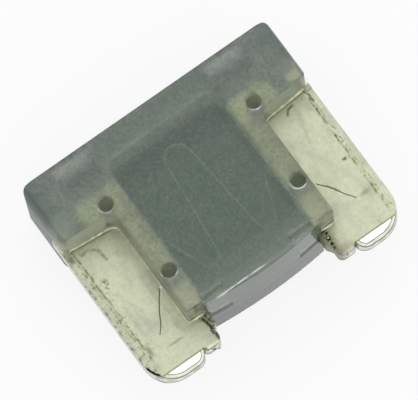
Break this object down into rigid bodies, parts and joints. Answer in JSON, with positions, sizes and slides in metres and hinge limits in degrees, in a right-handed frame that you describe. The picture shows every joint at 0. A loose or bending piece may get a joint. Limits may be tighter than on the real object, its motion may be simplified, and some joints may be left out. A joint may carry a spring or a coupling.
{
  "type": "automotive blade fuse",
  "caption": "Low-profile plug-in fuse: a smoky translucent moulded housing with two flat contact blades joined by a thin fuse link.",
  "frame": {"origin": "under the middle of the part, on the flat back of the housing that it lies on", "axes": "+X across the two blades, +Y from the blade tips towards the head, +Z through the thickness from the back face to the front face"},
  "size_m": [0.011, 0.0088, 0.0038],
  "materials": {
    "smoky_plastic": "smoky grey-green translucent moulding, lightly frosted outside",
    "tinned_zinc": "pale tin-plated zinc strip, satin with smudges and mirror-bright coined bevels"
  },
  "bodies": {
    "root": {"housing": "smoky_plastic", "fuse_element": "tinned_zinc"}
  },
  "joints": []
}
